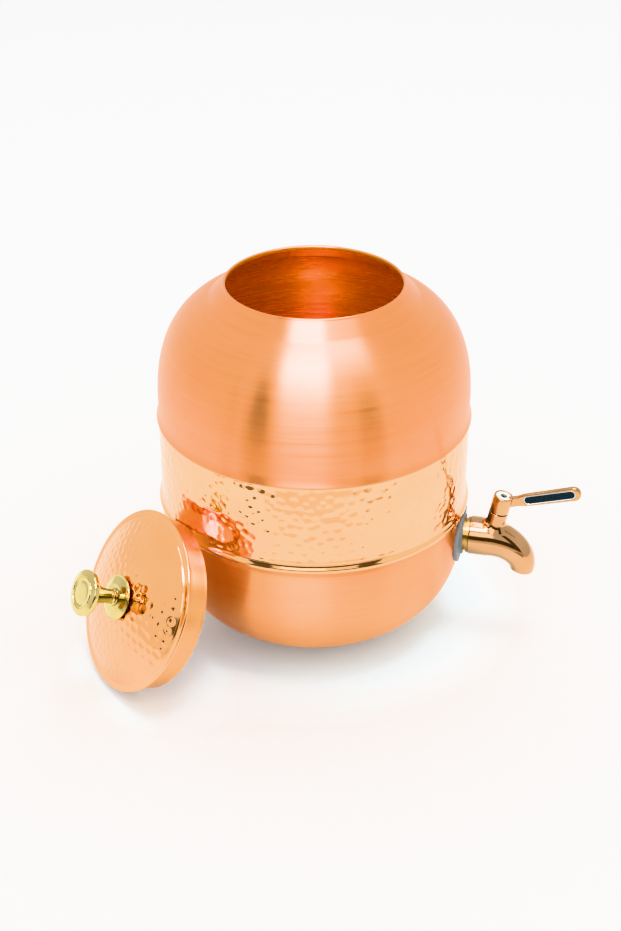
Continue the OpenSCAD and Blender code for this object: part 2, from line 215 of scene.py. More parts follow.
def polished_copper(name, deep, pale):
    """Bright sheet. The hammer marks themselves are in the meshes."""
    g = Graph(name, metallic=1.0, coat_weight=0.2, coat_roughness=0.05)
    cloud = g.noise(g.coordinates(), 28.0, 3.0)
    grain = g.noise(g.coordinates(), 420.0, 2.0)
    g.connect(g.blend(g.spread(cloud, 0.0, 1.0), deep, pale), "Base Color")
    g.connect(g.spread(cloud, 0.07, 0.12), "Roughness")
    g.bump(grain, 0.05, 0.0003)
    return g.material


def plated(name, deep, pale, rough):
    """Cast metal under a smooth coloured plating."""
    g = Graph(name, metallic=1.0, coat_weight=0.2, coat_roughness=0.03)
    cloud = g.noise(g.coordinates(), 60.0, 3.0)
    grain = g.noise(g.coordinates(), 900.0, 2.0)
    g.connect(g.blend(g.spread(cloud, 0.0, 1.0), deep, pale), "Base Color")
    g.connect(g.spread(cloud, *rough), "Roughness")
    g.bump(grain, 0.04, 0.0002)
    return g.material


def turned_brass(name, deep, pale, rough, strength, axes=None):
    """Brass off the lathe, with fine rings."""
    g = Graph(name, axes, metallic=1.0, coat_weight=0.25, coat_roughness=0.06)
    rings = g.noise(g.turned_coordinates(-1, 20.0, 2600.0), 1.0, 2.0, 0.6)
    cloud = g.noise(g.coordinates(), 90.0, 2.0)
    g.connect(g.blend(g.spread(cloud, 0.0, 1.0), deep, pale), "Base Color")
    g.connect(g.spread(rings, *rough), "Roughness")
    g.bump(rings, strength, 0.0001)
    return g.material


def dull(name, low, high, rough, scale=300.0, strength=0.2, **inputs):
    """Rubber, plastic, enamel or plain steel: a speckled tint with a fine grain."""
    g = Graph(name, **inputs)
    speckle = g.noise(g.coordinates(), scale, 3.0, 0.6)
    g.connect(g.blend(g.spread(speckle, 0.0, 1.0), low, high), "Base Color")
    g.connect(g.spread(speckle, *rough), "Roughness")
    g.bump(speckle, strength, 0.0002)
    return g.material


looks = {
    "dome": brushed_copper("copper_brushed_dome", -1, (0.89, 0.31, 0.095), (0.98, 0.42, 0.165)),
    "foot": brushed_copper("copper_brushed_foot", 1, (0.89, 0.345, 0.11), (0.98, 0.455, 0.18)),
    "hammered": polished_copper("copper_hammered", (0.93, 0.50, 0.22), (0.97, 0.56, 0.26)),
    "lid": polished_copper("copper_hammered_lid", (0.93, 0.45, 0.175), (0.97, 0.50, 0.21)),
    "inside": inner_copper("copper_inside"),
    "rose": plated("rose_plate", (0.39, 0.22, 0.11), (0.455, 0.265, 0.135), (0.06, 0.11)),
    "rose_satin": plated("rose_plate_satin", (0.40, 0.227, 0.11), (0.455, 0.27, 0.135),
                         (0.16, 0.22)),
    # Raw brass whose colour is darkened further as painted shade, for the backing ring that sits in
    # shadow behind the gasket.
    "raw_brass": turned_brass("brass_raw_painted_shade", (0.24, 0.14, 0.035), (0.42, 0.27, 0.08),
                              (0.16, 0.28), 0.2),
    "dark_steel": dull("steel_dark", (0.10, 0.11, 0.11), (0.20, 0.21, 0.20), (0.3, 0.45),
                       500.0, 0.05, metallic=1.0),
    "steel": dull("steel", (0.55, 0.56, 0.56), (0.68, 0.68, 0.67), (0.22, 0.34),
                  500.0, 0.05, metallic=1.0),
    "grey_rubber": dull("rubber_grey", (0.13, 0.15, 0.165), (0.20, 0.22, 0.235), (0.55, 0.72)),
    "black_rubber": dull("rubber_black", (0.012, 0.012, 0.013), (0.03, 0.03, 0.032), (0.5, 0.7)),
    "white_plastic": dull("plastic_white", (0.78, 0.78, 0.75), (0.86, 0.86, 0.83), (0.3, 0.42),
                          400.0, 0.05),
    "badge": dull("enamel_black", (0.004, 0.012, 0.018), (0.008, 0.022, 0.032), (0.24, 0.34),
                  700.0, 0.06, specular_ior_level=0.15),
    "badge_edge": dull("badge_edge_silver", (0.60, 0.68, 0.72), (0.72, 0.79, 0.82), (0.14, 0.22),
                       600.0, 0.04, metallic=1.0),
    "disc": dull("disc_satin_white", (0.70, 0.74, 0.72), (0.84, 0.87, 0.85), (0.22, 0.32),
                 500.0, 0.05, metallic=0.55),
}


# ---- Mesh helpers ----

def outward(mesh):
    """The same mesh with its faces turned outwards."""
    made = bmesh.new()
    made.from_mesh(mesh)
    bmesh.ops.recalc_face_normals(made, faces=made.faces)
    made.to_mesh(mesh)
    made.free()
    return mesh


def placed(mesh, matrix):
    mesh.transform(matrix)
    return outward(mesh)


def finished(name, mesh, look_names, body, node, sharp=35.0):
    """Piece of this mesh in the CAD node's place, riding on its body."""
    outward(mesh).shade_smooth()
    mesh.set_sharp_from_angle(angle=math.radians(sharp))
    piece = linked(name, mesh)
    for key in look_names:
        mesh.materials.append(looks[key])
    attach(piece, body)
    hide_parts(node)


def tube_faces(rings, count):
    """Faces of a tube through rings of count points each, closed at both ends."""
    faces = []
    for i in range(rings - 1):
        for k in range(count):
            n = (k + 1) % count
            faces.append([i * count + k, i * count + n, (i + 1) * count + n, (i + 1) * count + k])
    faces.append(list(range(count)))
    faces.append(list(range((rings - 1) * count, rings * count)))
    return faces


def mesh_of(name, verts, faces):
    mesh = bpy.data.meshes.new(name)
    mesh.from_pydata([tuple(v) for v in verts], [], faces)
    mesh.validate()
    return mesh


def turned(name, rings, segments, closed=True):
    """Mesh turned round Z. Each ring is (radius, height), where either may be an array with a
    value for each segment, and a radius of 0 is one point on the axis."""
    angle = np.arange(segments) * 2 * math.pi / segments
    verts, index = [], []
    for radius, height in rings:
        count = 1 if np.isscalar(radius) and radius < 1e-9 else segments
        index.append(len(verts) + np.arange(count))
        r = np.broadcast_to(radius, segments)[:count]
        z = np.broadcast_to(height, segments)[:count]
        verts.extend(np.column_stack((r * np.cos(angle[:count]), r * np.sin(angle[:count]), z)))
    faces = []
    for i in range(len(rings) if closed else len(rings) - 1):
        a, b = index[i], index[(i + 1) % len(rings)]
        if len(a) == 1 and len(b) == 1:
            continue
        for k in range(segments):
            n = (k + 1) % segments
            corners = [a[k % len(a)], a[n % len(a)], b[n % len(b)], b[k % len(b)]]
            faces.append([int(c) for c in dict.fromkeys(corners)])
    return mesh_of(name, verts, faces)


def arc(centre, radius, start, end, count):
    """Points (r, z) along an arc, with angles in degrees."""
    angles = [math.radians(start + (end - start) * i / count) for i in range(count + 1)]
    return [(centre[0] + radius * math.cos(a), centre[1] + radius * math.sin(a)) for a in angles]


def beside(path, distance):
    """The open path moved to its left by this distance."""
    p = np.array(path, float)
    d = np.gradient(p, axis=0)
    d /= np.linalg.norm(d, axis=1)[:, None]
    return [tuple(x) for x in p + distance * np.column_stack((-d[:, 1], d[:, 0]))]


def in_metres(path):
    return [(r * MM, z * MM) for r, z in path]


def rod(radius, low, high, axis):
    """Plain cylinder along an axis, used to cut bores."""
    outline = [(0, low), (radius, low), (radius, high), (0, high)]
    return placed(turned("rod", in_metres(outline), 64, closed=False), axis)


def smoothed(field, passes):
    """A height field blurred along both directions, of which the second one closes on itself."""
    for _ in range(passes):
        pad = np.pad(field, ((1, 1), (0, 0)), mode="edge")
        field = (pad[:-2] + 2 * field + pad[2:]) / 4
        field = (np.roll(field, 1, 1) + 2 * field + np.roll(field, -1, 1)) / 4
    return field


def from_boolean(name, base, joined, cutters):
    """Mesh of base, joined with some meshes and then cut by others."""
    target = linked(name + "_base", base)
    helpers = []
    steps = [(mesh, "UNION") for mesh in joined] + [(mesh, "DIFFERENCE") for mesh in cutters]
    for i, (mesh, operation) in enumerate(steps):
        helper = linked(f"{name}_tool_{i}", mesh)
        helpers.append(helper)
        modifier = target.modifiers.new(f"step_{i}", "BOOLEAN")
        modifier.operation = operation
        modifier.solver = "EXACT"
        modifier.object = helper
    bpy.context.view_layer.update()
    result = bpy.data.meshes.new_from_object(
        target.evaluated_get(bpy.context.evaluated_depsgraph_get()))
    result.name = name
    result.materials.clear()
    for item in [target, *helpers]:
        bpy.data.objects.remove(item)
    return result


# ---- Datums of the pot, in millimetres ----

shell_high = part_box("upper_shell")[1]
RIM_R = shell_high.x / MM
MOUTH_Z = shell_high.z / MM
RIM_Z = 149.0
DOME_R = RIM_R - 1.4
DOME_Z = RIM_Z + 13
FLARE_Z = RIM_Z + 7.5
MOUTH_R = 55.8
CREASE_R = 67.0
WALL_R = RIM_R - 1.5
WALL_Z = 76.9
BASE_R = 39.0
BAND_R = RIM_R - 1.1
BAND_Z = 87.0
BEAD_R = 2.6
BEAD_OUT = 1.8
BEAD_END = 40.0
SHEET = 1.0
SLIP = 0.08
LAP = 9.0
TAP_Z = 67.9
HOLE_R = 10.8

# Segments round the pot's turned pieces
AROUND = 288

# The dome and the foot are superellipses: heights and powers.
DOME_H = 74
DOME_R_POWER = 3.86
DOME_Z_POWER = 2.38
FOOT_R_POWER = 1.93
FOOT_Z_POWER = 2.72


def dome_radius(z):
    return DOME_R * (1 - ((z - DOME_Z) / DOME_H) ** DOME_Z_POWER) ** (1 / DOME_R_POWER)


def dome_height(r):
    return DOME_Z + DOME_H * (1 - (r / DOME_R) ** DOME_R_POWER) ** (1 / DOME_Z_POWER)


def foot_radius(z):
    bulge = (1 - ((WALL_Z - z) / WALL_Z) ** FOOT_Z_POWER) ** (1 / FOOT_R_POWER)
    return BASE_R + (WALL_R - BASE_R) * bulge


CREASE_Z = dome_height(CREASE_R)
tap_axis = Matrix.Translation((0, 0, TAP_Z * MM)) @ Matrix.Rotation(math.pi / 2, 4, "Y")


# ---- Pot ----

def lined(mesh):
    """The pot's mesh with the faces that look at its middle given the second material."""
    middle = Vector((0, 0, 0.11))
    for polygon in outward(mesh).polygons:
        polygon.material_index = int((middle - polygon.center).dot(polygon.normal) > 0)
    return mesh


def upper_shell():
    """The dome: a flared rim below, a straight wall, the curve, a soft crease and the facet that
    rises to the rolled lip."""
    edge_r, lip_r, flare_power = 0.5, 0.9, 2.2
    edge = arc((RIM_R - edge_r, RIM_Z + edge_r), edge_r, -160, -10, 8)
    flare_low = RIM_Z + 0.6
    flare_out = RIM_R - 0.05 - DOME_R
    flare = [(DOME_R + flare_out * (1 - t) ** flare_power, flare_low + (FLARE_Z - flare_low) * t)
             for t in np.linspace(0, 1, 13)]
    straight = [(DOME_R, z) for z in np.linspace(FLARE_Z + 1, DOME_Z, 6)]
    curve_h = CREASE_Z - 0.7 - DOME_Z
    heights = [DOME_Z + curve_h * math.sin(math.pi / 2 * i / 60) for i in range(1, 60)]
    dome = [(dome_radius(z), z) for z in heights]
    crease = np.array([CREASE_R, CREASE_Z])
    top = np.array([MOUTH_R + 2 * lip_r + 0.2, MOUTH_Z - lip_r - 0.2])
    facet = [tuple(crease + (top - crease) * t) for t in np.linspace(0.1, 1, 12)]
    before, after = np.array(dome[-1]), np.array(facet[0])
    corner = [tuple((1 - t) ** 2 * before + 2 * t * (1 - t) * crease + t * t * after)
              for t in (0.2, 0.4, 0.6, 0.8)]
    skin = flare + straight + dome + corner + facet
    lip = arc((MOUTH_R + lip_r, MOUTH_Z - lip_r), lip_r, 0, 180, 14) + [(MOUTH_R, MOUTH_Z - 2.4)]
    inside = [(r, z) for r, z in beside(skin, SHEET) if z < MOUTH_Z - 2.6]
    outline = edge + skin[1:] + lip + inside[::-1]
    return turned("upper_shell", in_metres(outline), AROUND)


def hammer_marks(rows, per_row, jitter, rng):
    """Jittered marks on a unit sheet, as (u, v, size, depth), where u goes once round the pot."""
    marks = []
    for j in range(rows):
        for i in range(per_row):
            marks.append((
                (i + 0.5 * (j % 2) + rng.uniform(-jitter, jitter)) / per_row,
                (j + 0.5 + rng.uniform(-jitter, jitter)) / rows,
                rng.uniform(0.82, 1.15),
                rng.uniform(0.45, 1.0),
            ))
    return marks


def hammered_field(rows, segments, span):
    """Depths over the band, rows up its height span and segments round it. Each hammer mark is a
    shallow bowl."""
    mark_r, mark_depth = 3.1, 0.33
    step_u, step_v = 2 * math.pi * BAND_R / segments, span / (rows - 1)
    field = np.zeros((rows, segments))
    for u, v, size, depth in hammer_marks(9, 106, 0.42, random.Random(41)):
        radius, bowl = mark_r * size, mark_depth * depth
        ci, cj = u * segments, v * (rows - 1)
        reach_i, reach_j = int(radius / step_u) + 2, int(radius / step_v) + 2
        columns = np.arange(int(ci) - reach_i, int(ci) + reach_i + 1)
        lines = np.arange(max(0, int(cj) - reach_j), min(rows, int(cj) + reach_j + 1))
        du = (columns - ci) * step_u
        dv = (lines - cj) * step_v
        dent = -bowl * (1 - (du[None, :] ** 2 + dv[:, None] ** 2) / radius ** 2)
        patch = np.ix_(lines, columns % segments)
        field[patch] = np.minimum(field[patch], np.minimum(dent, 0))
    return smoothed(field, 2)


def sheet_wave(around, up):
    """Slow unevenness of the hammered sheet."""
    broad = 0.09 * np.sin(7 * around + up / 9) * np.sin(up / 6 + 3 * around)
    return broad + 0.035 * np.sin(29 * around + up / 4) * np.cos(up / 5 - 17 * around)


def hammered_band():
    """The band, with a bead below. Its upper edge steps in to lap inside the dome."""
    segments, rows, margin_h, sunk = 1260, 116, 1.2, 0.12
    low, high = BAND_Z + 7.8, RIM_Z - 1.0
    height = np.linspace(low, high, rows)
    angle = np.arange(segments) * 2 * math.pi / segments
    relief = hammered_field(rows, segments, high - low) + sheet_wave(angle[None, :], height[:, None])
    margin = np.clip(np.minimum(height - low, high - height) / margin_h, 0, 1)[:, None]
    surface = BAND_R + (relief - sunk) * margin
    top_r = DOME_R - SHEET - SLIP
    cove_r = BEAD_OUT / (1 - math.cos(math.radians(BEAD_END))) - BEAD_R
    cove_z = BAND_Z + BEAD_R + (BEAD_R + cove_r) * math.sin(math.radians(BEAD_END))
    bead = arc((BAND_R + BEAD_OUT - BEAD_R, BAND_Z + BEAD_R), BEAD_R, -90, BEAD_END, 26)
    cove = arc((BAND_R + cove_r, cove_z), cove_r, 180 + BEAD_END, 180, 12)[1:]
    rings = in_metres(bead + cove)
    rings += [(surface[j] * MM, height[j] * MM) for j in range(rows)]
    step_out = [(BAND_R, RIM_Z - 0.7), (top_r + 0.6, RIM_Z + 0.9), (top_r, RIM_Z + 1.6)]
    lap = [(top_r, RIM_Z + LAP), (top_r - SHEET, RIM_Z + LAP)]
    step_in = [(top_r - SHEET, RIM_Z + 0.8), (BAND_R - SHEET, RIM_Z - 1.8)]
    rings += in_metres(step_out + lap + step_in + [(BAND_R - SHEET, BAND_Z)])
    return turned("hammered_band", rings, segments)


def lower_shell():
    """The spun bottom, with the hole that the tap's shank goes through."""
    base = [(0.0, 0.0), (12.0, 0.0), (25.0, 0.0), (BASE_R - 1.5, 0.0)]
    heights = [WALL_Z * (1 - math.sin(math.radians(90 - 1.5 * i))) for i in range(61)]
    curve = [(foot_radius(z), z) for z in heights]
    lap_r = BAND_R - SHEET - SLIP
    wall = [(WALL_R, z) for z in np.linspace(WALL_Z + 2, BAND_Z - 3.2, 6)]
    neck = [(WALL_R - 0.1, BAND_Z - 2.2), (lap_r + 0.1, BAND_Z - 0.8)]
    lap = [(lap_r, BAND_Z), (lap_r, BAND_Z + LAP)]
    skin = base + curve + wall + neck + lap
    inside = beside(skin, SHEET)
    inside[0] = (0.0, SHEET)
    shell = outward(turned("lower_shell_blank", in_metres(skin + inside[::-1]), AROUND))
    return from_boolean("lower_shell", shell, [], [rod(HOLE_R, 70, 130, tap_axis)])


finished("pot_upper_shell", lined(upper_shell()), ["dome", "inside"], "pot",
         "upper_shell", sharp=50)
finished("pot_hammered_band", lined(hammered_band()), ["hammered", "inside"], "pot",
         "hammered_band", sharp=50)
finished("pot_lower_shell", lined(lower_shell()), ["foot", "inside"], "pot",
         "lower_shell", sharp=50)


# ---- Tap, in millimetres ----

STEM_X = 120.8
STEM_LEAN = math.radians(11.5)
SPOUT_X = 118.0
SPOUT_RUN = 24.5
SPOUT_DROP = 18.4
SPOUT_TURN = 98.0
BARREL_R = 13.0
OUTLET_R = 8.3
HUB_R = 6.45
BONNET_H = 21.4
HUB_Z = 22.0
HUB_TOP = 34.1

# Bores of the tap's body
GLAND_R = 4.9
SHOULDER_R = 3.75
STEM_R = 2.85
SPIGOT_R = 9.35
CAVITY_R = 7.5

stem_axis = Matrix.Translation((STEM_X * MM, 0, TAP_Z * MM)) @ Matrix.Rotation(STEM_LEAN, 4, "Y")


def spout_section(a):
    """Centre, direction and radius of the spout after turning by a degrees, in millimetres."""
    a = float(a)
    t = math.radians(a)
    centre = Vector((SPOUT_X + SPOUT_RUN * math.sin(t), 0, TAP_Z - SPOUT_DROP * (1 - math.cos(t))))
    direction = Vector((SPOUT_RUN * math.cos(t), 0, -SPOUT_DROP * math.sin(t))).normalized()
    return centre, direction, BARREL_R + (OUTLET_R - BARREL_R) * a / SPOUT_TURN


def swept(name, sections, segments):
    """Closed mesh through round sections (centre, direction, radius), all in the plane y = 0."""
    sideways = Vector((0, 1, 0))
    verts = []
    for centre, direction, radius in sections:
        across = Vector((-direction.z, 0, direction.x))
        for k in range(segments):
            a = 2 * math.pi * k / segments
            spoke = math.cos(a) * across + math.sin(a) * sideways
            verts.append((centre + radius * spoke) * MM)
    return outward(mesh_of(name, verts, tube_faces(len(sections), segments)))


def spout_solid():
    """Barrel and spout in one sweep, with both ends rounded."""
    back_r, outlet_r = 0.7, 0.9
    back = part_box("tap_body")[0].x / MM
    straight = [(back + back_r * (1 - math.cos(math.radians(t))),
                 BARREL_R - back_r * (1 - math.sin(math.radians(t)))) for t in (0, 22, 45, 67, 90)]
    straight += [(float(x), BARREL_R) for x in np.linspace(back + 2, SPOUT_X - 1.5, 6)]
    sections = [(Vector((x, 0, TAP_Z)), Vector((1, 0, 0)), radius) for x, radius in straight]
    sections += [spout_section(a) for a in np.linspace(0, SPOUT_TURN, 44)]
    centre, direction, radius = sections.pop()
    for t in (0, 30, 60, 90):
        a = math.radians(t)
        sections.append((centre - direction * outlet_r * (1 - math.sin(a)), direction,
                         radius - outlet_r * (1 - math.cos(a))))
    return swept("spout", sections, 96)


def bonnet(surface):
    """Neck of the tap, which flares into the barrel below it. It is made in the stem's own frame."""
    tree = BVHTree.FromPolygons([stem_axis.inverted() @ v.co for v in surface.vertices],
                                [tuple(p.vertices) for p in surface.polygons])
    segments, steps = 96, 14
    flare, edge_r, ray_z, sunk = 3.2, 0.4, 40, 0.03
    rings = []
    for i in range(steps + 1):
        t = math.pi / 2 * i / steps
        radius = (HUB_R + flare * (1 - math.cos(t))) * MM
        heights = []
        for k in range(segments):
            a = 2 * math.pi * k / segments
            start = Vector((radius * math.cos(a), radius * math.sin(a), ray_z * MM))
            hit = tree.ray_cast(start, Vector((0, 0, -1)))[0]
            heights.append(hit.z + flare * (1 - math.sin(t)) * MM)
        rings.append((radius, np.array(heights) - sunk * MM * (i == steps)))
    edge = arc((HUB_R - edge_r, BONNET_H - edge_r), edge_r, 90, 0, 3)
    top = in_metres([(0, BONNET_H), *edge])
    straight = [(HUB_R * MM, rings[0][1] * (1 - t) + (BONNET_H - edge_r) * MM * t)
                for t in (0.8, 0.5, 0.2)]
    bottom = in_metres([((HUB_R + flare) * 0.8, 8), (0, 6)])
    mesh = turned("bonnet", top + straight + rings + bottom, segments, closed=False)
    return placed(mesh, stem_axis)


def outlet_bore():
    """Cutter of the spout's open end, chamfered at its edge."""
    centre, direction, _ = spout_section(SPOUT_TURN)
    place = Matrix.Translation(centre * MM) @ direction.to_track_quat("Z", "Y").to_matrix().to_4x4()
    outline = [(0, -7), (5.4, -7), (5.4, -4.6), (6.2, -4.6), (6.2, 0.2), (6.6, 1), (0, 1)]
    return placed(turned("outlet", in_metres(outline), 64, closed=False), place)


def tap_body():
    """Spout and bonnet in one casting, bored for the parts of the valve that sit in it."""
    spout = spout_solid()
    return from_boolean("tap_body", spout, [bonnet(spout)], [
        outlet_bore(),
        rod(GLAND_R, BONNET_H - 6, BONNET_H + 1, stem_axis),
        rod(SHOULDER_R, 2, 12, stem_axis),
        rod(STEM_R, 4, BONNET_H, stem_axis),
        rod(SPIGOT_R, 100, STEM_X - 6.9, tap_axis),
        rod(CAVITY_R, STEM_X - 8, STEM_X + 7, tap_axis),
    ])


finished("tap_body_cast", tap_body(), ["rose"], "pot", "tap_body", sharp=40)


# ---- Lever, in millimetres ----

PADDLE_L = 46.3
PADDLE_T = 3.6
PADDLE_RISE = math.radians(16.6)
BADGE_FROM = 8.4
BADGE_TO = PADDLE_L - 3.6
BADGE_HALF = 3.3
RECESS = 0.8

hub_middle = stem_axis @ Vector((0, 0, (HUB_Z + HUB_TOP) / 2 * MM))
paddle_plane = (Matrix.Translation(hub_middle) @ Matrix.Rotation(math.pi / 2, 4, "X")
                @ Matrix.Rotation(PADDLE_RISE, 4, "Z") @ Matrix.Translation((HUB_R * MM, 0, 0)))


def stadium(start, end, half):
    """Outline with two round ends, anticlockwise from the far end's lower corner."""
    turn = [(half * math.sin(t), half * math.cos(t)) for t in np.linspace(0, math.pi, 20)]
    far = [(end - half + x, -y) for x, y in turn]
    near = [(start + half - x, y) for x, y in turn]
    return far + near


def plate(name, outlines):
    """Closed mesh through matching outlines, each (points, height), capped at both ends."""
    verts = [(x * MM, y * MM, z * MM) for points, z in outlines for x, y in points]
    return mesh_of(name, verts, tube_faces(len(outlines), len(outlines[0][0])))


def shrunk(points, distance):
    """Closed anticlockwise outline moved inwards."""
    p = np.array(points, float)
    d = np.roll(p, -1, 0) - np.roll(p, 1, 0)
    d /= np.linalg.norm(d, axis=1)[:, None]
    return [tuple(x) for x in p + distance * np.column_stack((-d[:, 1], d[:, 0]))]


def paddle_outline():
    """Lever seen from above: a narrow root, a shoulder, and a paddle that widens to its round tip."""
    root, shoulder, half = 3.4, 4.25, 4.85
    shoulder_from, shoulder_to, tip = 4.5, 10, PADDLE_L - half
    side = [(-4, root), (1, root)]
    for t in np.linspace(0, 1, 9):
        ease = t * t * (3 - 2 * t)
        side.append((shoulder_from + (shoulder_to - shoulder_from) * t, root + (shoulder - root) * ease))
    widening = (half - shoulder) / (tip - shoulder_to)
    side += [(x, shoulder + widening * (x - shoulder_to)) for x in (16, 24, 32, 38)]
    end = [(tip + half * math.sin(t), -half * math.cos(t)) for t in np.linspace(0, math.pi, 30)]
    return [(x, -y) for x, y in side] + end + side[::-1]


def paddle():
    """Flat plate with rounded edges."""
    edge_r = 0.7
    outline = paddle_outline()
    levels = []
    for t in (0, 30, 60, 90):
        a = math.radians(t)
        levels.append((shrunk(outline, edge_r * (1 - math.sin(a))),
                       edge_r * (1 - math.cos(a)) - PADDLE_T / 2))
    levels += [(points, -z) for points, z in levels[::-1]]
    return plate("paddle", levels)


def pocket():
    """Cutter of the recess for the badge, with a small chamfer at the top."""
    edge = stadium(BADGE_FROM, BADGE_TO, BADGE_HALF)
    chamfer = shrunk(edge, -0.25)
    top = PADDLE_T / 2
    return plate("pocket", [(edge, top - RECESS), (edge, top - 0.15), (chamfer, top + 0.1), (chamfer, 4)])


def hub():
    """Round head of the lever, in the stem's frame, with a shallow seat for the disc."""
    edge_r, seat_r, seat_z = 0.45, 5.1, HUB_TOP - 1.2
    rings = [(0, HUB_Z)] + arc((HUB_R - edge_r, HUB_Z + edge_r), edge_r, -90, 0, 3)
    rings += arc((HUB_R - edge_r, HUB_TOP - edge_r), edge_r, 0, 90, 3)
    rings += [(seat_r + 0.2, HUB_TOP), (seat_r, HUB_TOP - 0.15), (seat_r, seat_z), (0, seat_z)]
    return turned("hub", in_metres(rings), 96, closed=False)


def lever_handle():
    """Hub and paddle in one casting, bored for the screw and the stem."""
    screw_head = rod(2.5, HUB_TOP - 3, HUB_TOP, stem_axis)
    stem_socket = rod(3.0, HUB_Z - 1, HUB_TOP - 4, stem_axis)
    screw_hole = rod(1.6, HUB_Z, HUB_TOP, stem_axis)
    return from_boolean("lever_handle", placed(hub(), stem_axis), [placed(paddle(), paddle_plane)],
                        [placed(pocket(), paddle_plane), screw_head, stem_socket, screw_hole])


def badge():
    """Dark enamel plate in a thin bright frame, with no lettering."""
    outer = stadium(BADGE_FROM + 0.1, BADGE_TO - 0.1, BADGE_HALF - 0.1)
    low = PADDLE_T / 2 - RECESS
    frame_top = [(shrunk(outer, 0.12), low + 0.6), (shrunk(outer, 0.42), low + 0.6)]
    levels = [(outer, low), (outer, low + 0.5), *frame_top, (shrunk(outer, 0.55), low + 0.42)]
    mesh = plate("badge", levels)
    for polygon in mesh.polygons:
        inner = len(polygon.vertices) > 4 and polygon.center.z > (low + 0.3) * MM
        polygon.material_index = 0 if inner else 1
    return mesh


finished("lever_handle_cast", lever_handle(), ["rose_satin"], "lever",
         "lever_handle", sharp=40)
finished("lever_badge", placed(badge(), paddle_plane), ["badge", "badge_edge"], "lever",
         "badge_plate", sharp=40)


# ---- Lid, in millimetres ----

COVER_R = 58.4
CROWN_R = 53.4
CROWN_FOOT = 0.9
CROWN_H = 13.3
CROWN_POWER = 2.1
COLLAR_R = 54.5
COLLAR_H = 15.9
CURL_R = 1.0
SCREW_R = 2.4
KNOB_R = 14.8
KNOB_NECK_R = 4.6
KNOB_FLARE = 4.0
KNOB_TOP = 39.9
KNOB_FOOT = 3.15
KNOB_AROUND = 160
FLANGE_Z = CROWN_H + 0.1

# The lid stands on its collar's edge and leans towards the pot.
LID_X = -90.5
LID_Y = -109.5
LID_BEARING = math.radians(-135.7)
LID_LEAN = math.radians(27.3)

lid_z = COLLAR_R * math.cos(LID_LEAN) + (COLLAR_H + SHEET) * math.sin(LID_LEAN)
lid_frame = (Matrix.Translation((LID_X * MM, LID_Y * MM, lid_z * MM))
             @ Matrix.Rotation(LID_BEARING, 4, "Z")
             @ Matrix.Rotation(math.pi / 2 - LID_LEAN, 4, "Y"))

looks["collar"] = brushed_copper("copper_brushed_collar", -1, (0.83, 0.39, 0.135),
                                 (0.91, 0.455, 0.175), lid_frame)
looks["brass"] = turned_brass("brass_polished", (0.42, 0.33, 0.12), (0.53, 0.43, 0.18),
                              (0.07, 0.13), 0.08, lid_frame)


def crown_z(r):
    return CROWN_FOOT + (CROWN_H - CROWN_FOOT) * (1 - (r / CROWN_R) ** CROWN_POWER)


def hammered_crown(radii, segments):
    """Depths over the lid's crown, at these radii and segments round it, with the hammer marks in
    rings."""
    first_ring, ring_step, mark_step = 9.0, 5.7, 6.1
    mark_r, mark_depth = 2.75, 0.36
    rng = random.Random(12)
    angle = np.arange(segments) * 2 * math.pi / segments
    x = radii[:, None] * np.cos(angle[None, :])
    y = radii[:, None] * np.sin(angle[None, :])
    field = np.zeros(x.shape)
    for ring in range(8):
        ring_r = first_ring + ring_step * ring
        count = int(2 * math.pi * ring_r / mark_step)
        for i in range(count):
            a = 2 * math.pi * (i + 0.5 * (ring % 2) + rng.uniform(-0.15, 0.15)) / count
            r = ring_r + rng.uniform(-0.6, 0.6)
            size, bowl = mark_r * rng.uniform(0.85, 1.12), mark_depth * rng.uniform(0.55, 1.0)
            part = np.abs(radii - r) < size + 0.5
            d2 = (x[part] - r * math.cos(a)) ** 2 + (y[part] - r * math.sin(a)) ** 2
            field[part] = np.minimum(field[part], np.minimum(-bowl * (1 - d2 / size ** 2), 0))
    return smoothed(field, 1)


def lid_cover():
    """Cover with a hammered crown, a flat brim and a rolled edge."""
    segments, rows, margin_r = 720, 112, 1.5
    radii = np.linspace(6.0, CROWN_R, rows)
    margin = np.clip((CROWN_R - radii) / margin_r, 0, 1)[:, None]
    height = crown_z(radii)[:, None] + hammered_crown(radii, segments) * margin
    rings = in_metres([(SCREW_R, crown_z(SCREW_R))])
    rings += [(radii[j] * MM, height[j] * MM) for j in range(rows)]
    brim = [(CROWN_R + 0.25, 0.35), (CROWN_R + 0.6, 0.0), (CROWN_R + 1.4, -0.02), (COVER_R - 2, 0)]
    curl = arc((COVER_R - CURL_R, -CURL_R), CURL_R, 90, -180, 18)
    under = [(r, crown_z(r) - SHEET) for r in np.linspace(CROWN_R, SCREW_R, 30)]
    rings += in_metres(brim + curl + [(CROWN_R + 0.3, -SHEET)] + under)
    return turned("lid_cover", rings, segments)


def lid_collar():
    """Collar that goes into the mouth, with a fine groove above its rounded edge."""
    top, low = -SHEET - 0.02, -SHEET - COLLAR_H
    wall, groove = 1.2, 0.06
    rings = [(COLLAR_R, top), (COLLAR_R, -4), (COLLAR_R, -9), (COLLAR_R, low + 2.2)]
    rings += [(COLLAR_R - groove, low + 2), (COLLAR_R - groove, low + 1.8), (COLLAR_R, low + 1.6)]
    rings += arc((COLLAR_R - wall / 2, low + wall / 2), wall / 2, 0, -180, 14)
    rings += [(COLLAR_R - wall, -6), (COLLAR_R - wall, top)]
    return turned("lid_collar", in_metres(rings), AROUND)


